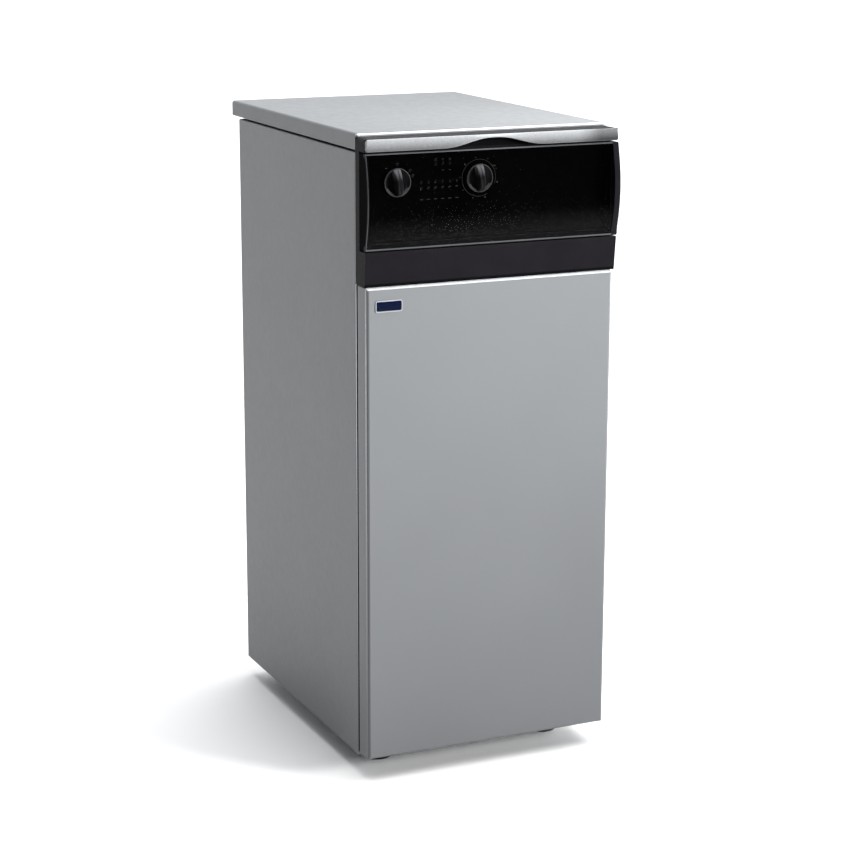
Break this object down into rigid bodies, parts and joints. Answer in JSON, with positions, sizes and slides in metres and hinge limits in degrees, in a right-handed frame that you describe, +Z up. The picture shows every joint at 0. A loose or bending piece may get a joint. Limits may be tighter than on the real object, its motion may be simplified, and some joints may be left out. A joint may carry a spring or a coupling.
{
  "type": "floor-standing gas boiler",
  "caption": "Slim floor-standing gas boiler: painted steel casing, drop-down flap over two control knobs, cast-iron sections over an atmospheric burner, rear flue hood.",
  "frame": {"origin": "on the floor, under the centre of the whole object", "axes": "+Z up, front door and flap towards -Y, +X to the right seen from the front"},
  "size_m": [0.354, 0.594, 0.85],
  "materials": {
    "silver_paint": "satin metallic silver-grey powder coat",
    "zinc_sheet": "zinc-plated sheet",
    "charcoal_plastic": "fine-grained charcoal moulding",
    "smoked_flap": "glossy smoked black",
    "control_face": "satin black printed sheet",
    "trim_silver": "satin silver lacquer on moulding",
    "badge_blue": "dark blue enamel, light rim",
    "knob_black": "semi-gloss black",
    "clear_plastic": "clear light guide",
    "grey_plastic": "grey technical moulding",
    "black_plastic": "matt black nylon",
    "circuit_green": "solder-masked board",
    "cast_iron": "as cast, dark",
    "wool": "glass-wool blanket, foil outside",
    "hood_steel": "aluminised sheet",
    "burner_steel": "stainless, heat tinted",
    "brass": "turned brass",
    "gas_alloy": "die cast and steel tube",
    "steel_pipe": "plain steel tube",
    "ceramic": "glazed insulator",
    "glass": "heat-proof glass"
  },
  "bodies": {
    "casing": {"side_panel_left": "silver_paint", "side_panel_right": "silver_paint", "rear_panel": "zinc_sheet", "base_frame": "zinc_sheet", "upper_crossmember": "zinc_sheet", "levelling_foot_front_left": "zinc_sheet", "levelling_foot_front_right": "zinc_sheet", "levelling_foot_rear_left": "zinc_sheet", "levelling_foot_rear_right": "zinc_sheet", "door_clip_left": "zinc_sheet", "door_clip_right": "zinc_sheet", "fascia_frame": "charcoal_plastic", "trim_bar": "trim_silver", "control_plate": "control_face", "light_guide": "clear_plastic", "selector_switch": "grey_plastic", "thermostat_body": "zinc_sheet", "control_box": "grey_plastic", "circuit_board": "circuit_green", "cable_gland": "black_plastic", "front_section": "cast_iron", "middle_section": "cast_iron", "rear_section": "cast_iron", "upper_nipple_front": "steel_pipe", "upper_nipple_rear": "steel_pipe", "lower_nipple_front": "steel_pipe", "lower_nipple_rear": "steel_pipe", "tie_rod_lower_left": "steel_pipe", "tie_rod_lower_right": "steel_pipe", "tie_rod_upper_left": "steel_pipe", "tie_rod_upper_right": "steel_pipe", "insulation_jacket": "wool", "flue_collector": "hood_steel", "draught_diverter": "hood_steel", "burner_bar_1": "burner_steel", "burner_bar_2": "burner_steel", "burner_bar_3": "burner_steel", "injector_1": "brass", "injector_2": "brass", "injector_3": "brass", "burner_support": "burner_steel", "burner_plate": "zinc_sheet", "sight_glass": "glass", "ignition_electrode": "ceramic", "flame_sensor": "ceramic", "gas_manifold": "gas_alloy", "gas_valve": "gas_alloy", "gas_supply_pipe": "gas_alloy", "flow_pipe": "steel_pipe", "return_pipe": "steel_pipe", "drain_cock": "brass"},
    "door": {"front_door": "silver_paint", "door_badge": "badge_blue", "door_stud_left": "zinc_sheet", "door_stud_right": "zinc_sheet"},
    "lid": {"lid": "silver_paint"},
    "flap": {"flap": "smoked_flap"},
    "selector": {"selector_knob": "knob_black"},
    "thermostat": {"thermostat_knob": "knob_black"},
    "drain": {"drain_lever": "black_plastic"}
  },
  "joints": [
    {"name": "flap_hinge", "type": "hinge", "parent": "casing", "child": "flap", "pos_m": [0, -0.285, 0.71], "axis": [1, 0, 0], "range_deg": [0, 90]},
    {"name": "selector_turn", "type": "hinge", "parent": "casing", "child": "selector", "pos_m": [-0.1295, -0.276, 0.7895], "axis": [0, 1, 0], "range_deg": [-45, 90]},
    {"name": "thermostat_turn", "type": "hinge", "parent": "casing", "child": "thermostat", "pos_m": [-0.016, -0.276, 0.7895], "axis": [0, 1, 0], "range_deg": [-135, 135]},
    {"name": "door_pull", "type": "slide", "parent": "casing", "child": "door", "axis": [0, -1, 0], "range_m": [0, 0.3]},
    {"name": "lid_lift", "type": "slide", "parent": "casing", "child": "lid", "axis": [0, 0, 1], "range_m": [0, 0.2]},
    {"name": "drain_turn", "type": "hinge", "parent": "casing", "child": "drain", "pos_m": [-0.1, -0.1783, 0.1393], "axis": [0, 0, 1], "range_deg": [0, 90]}
  ]
}
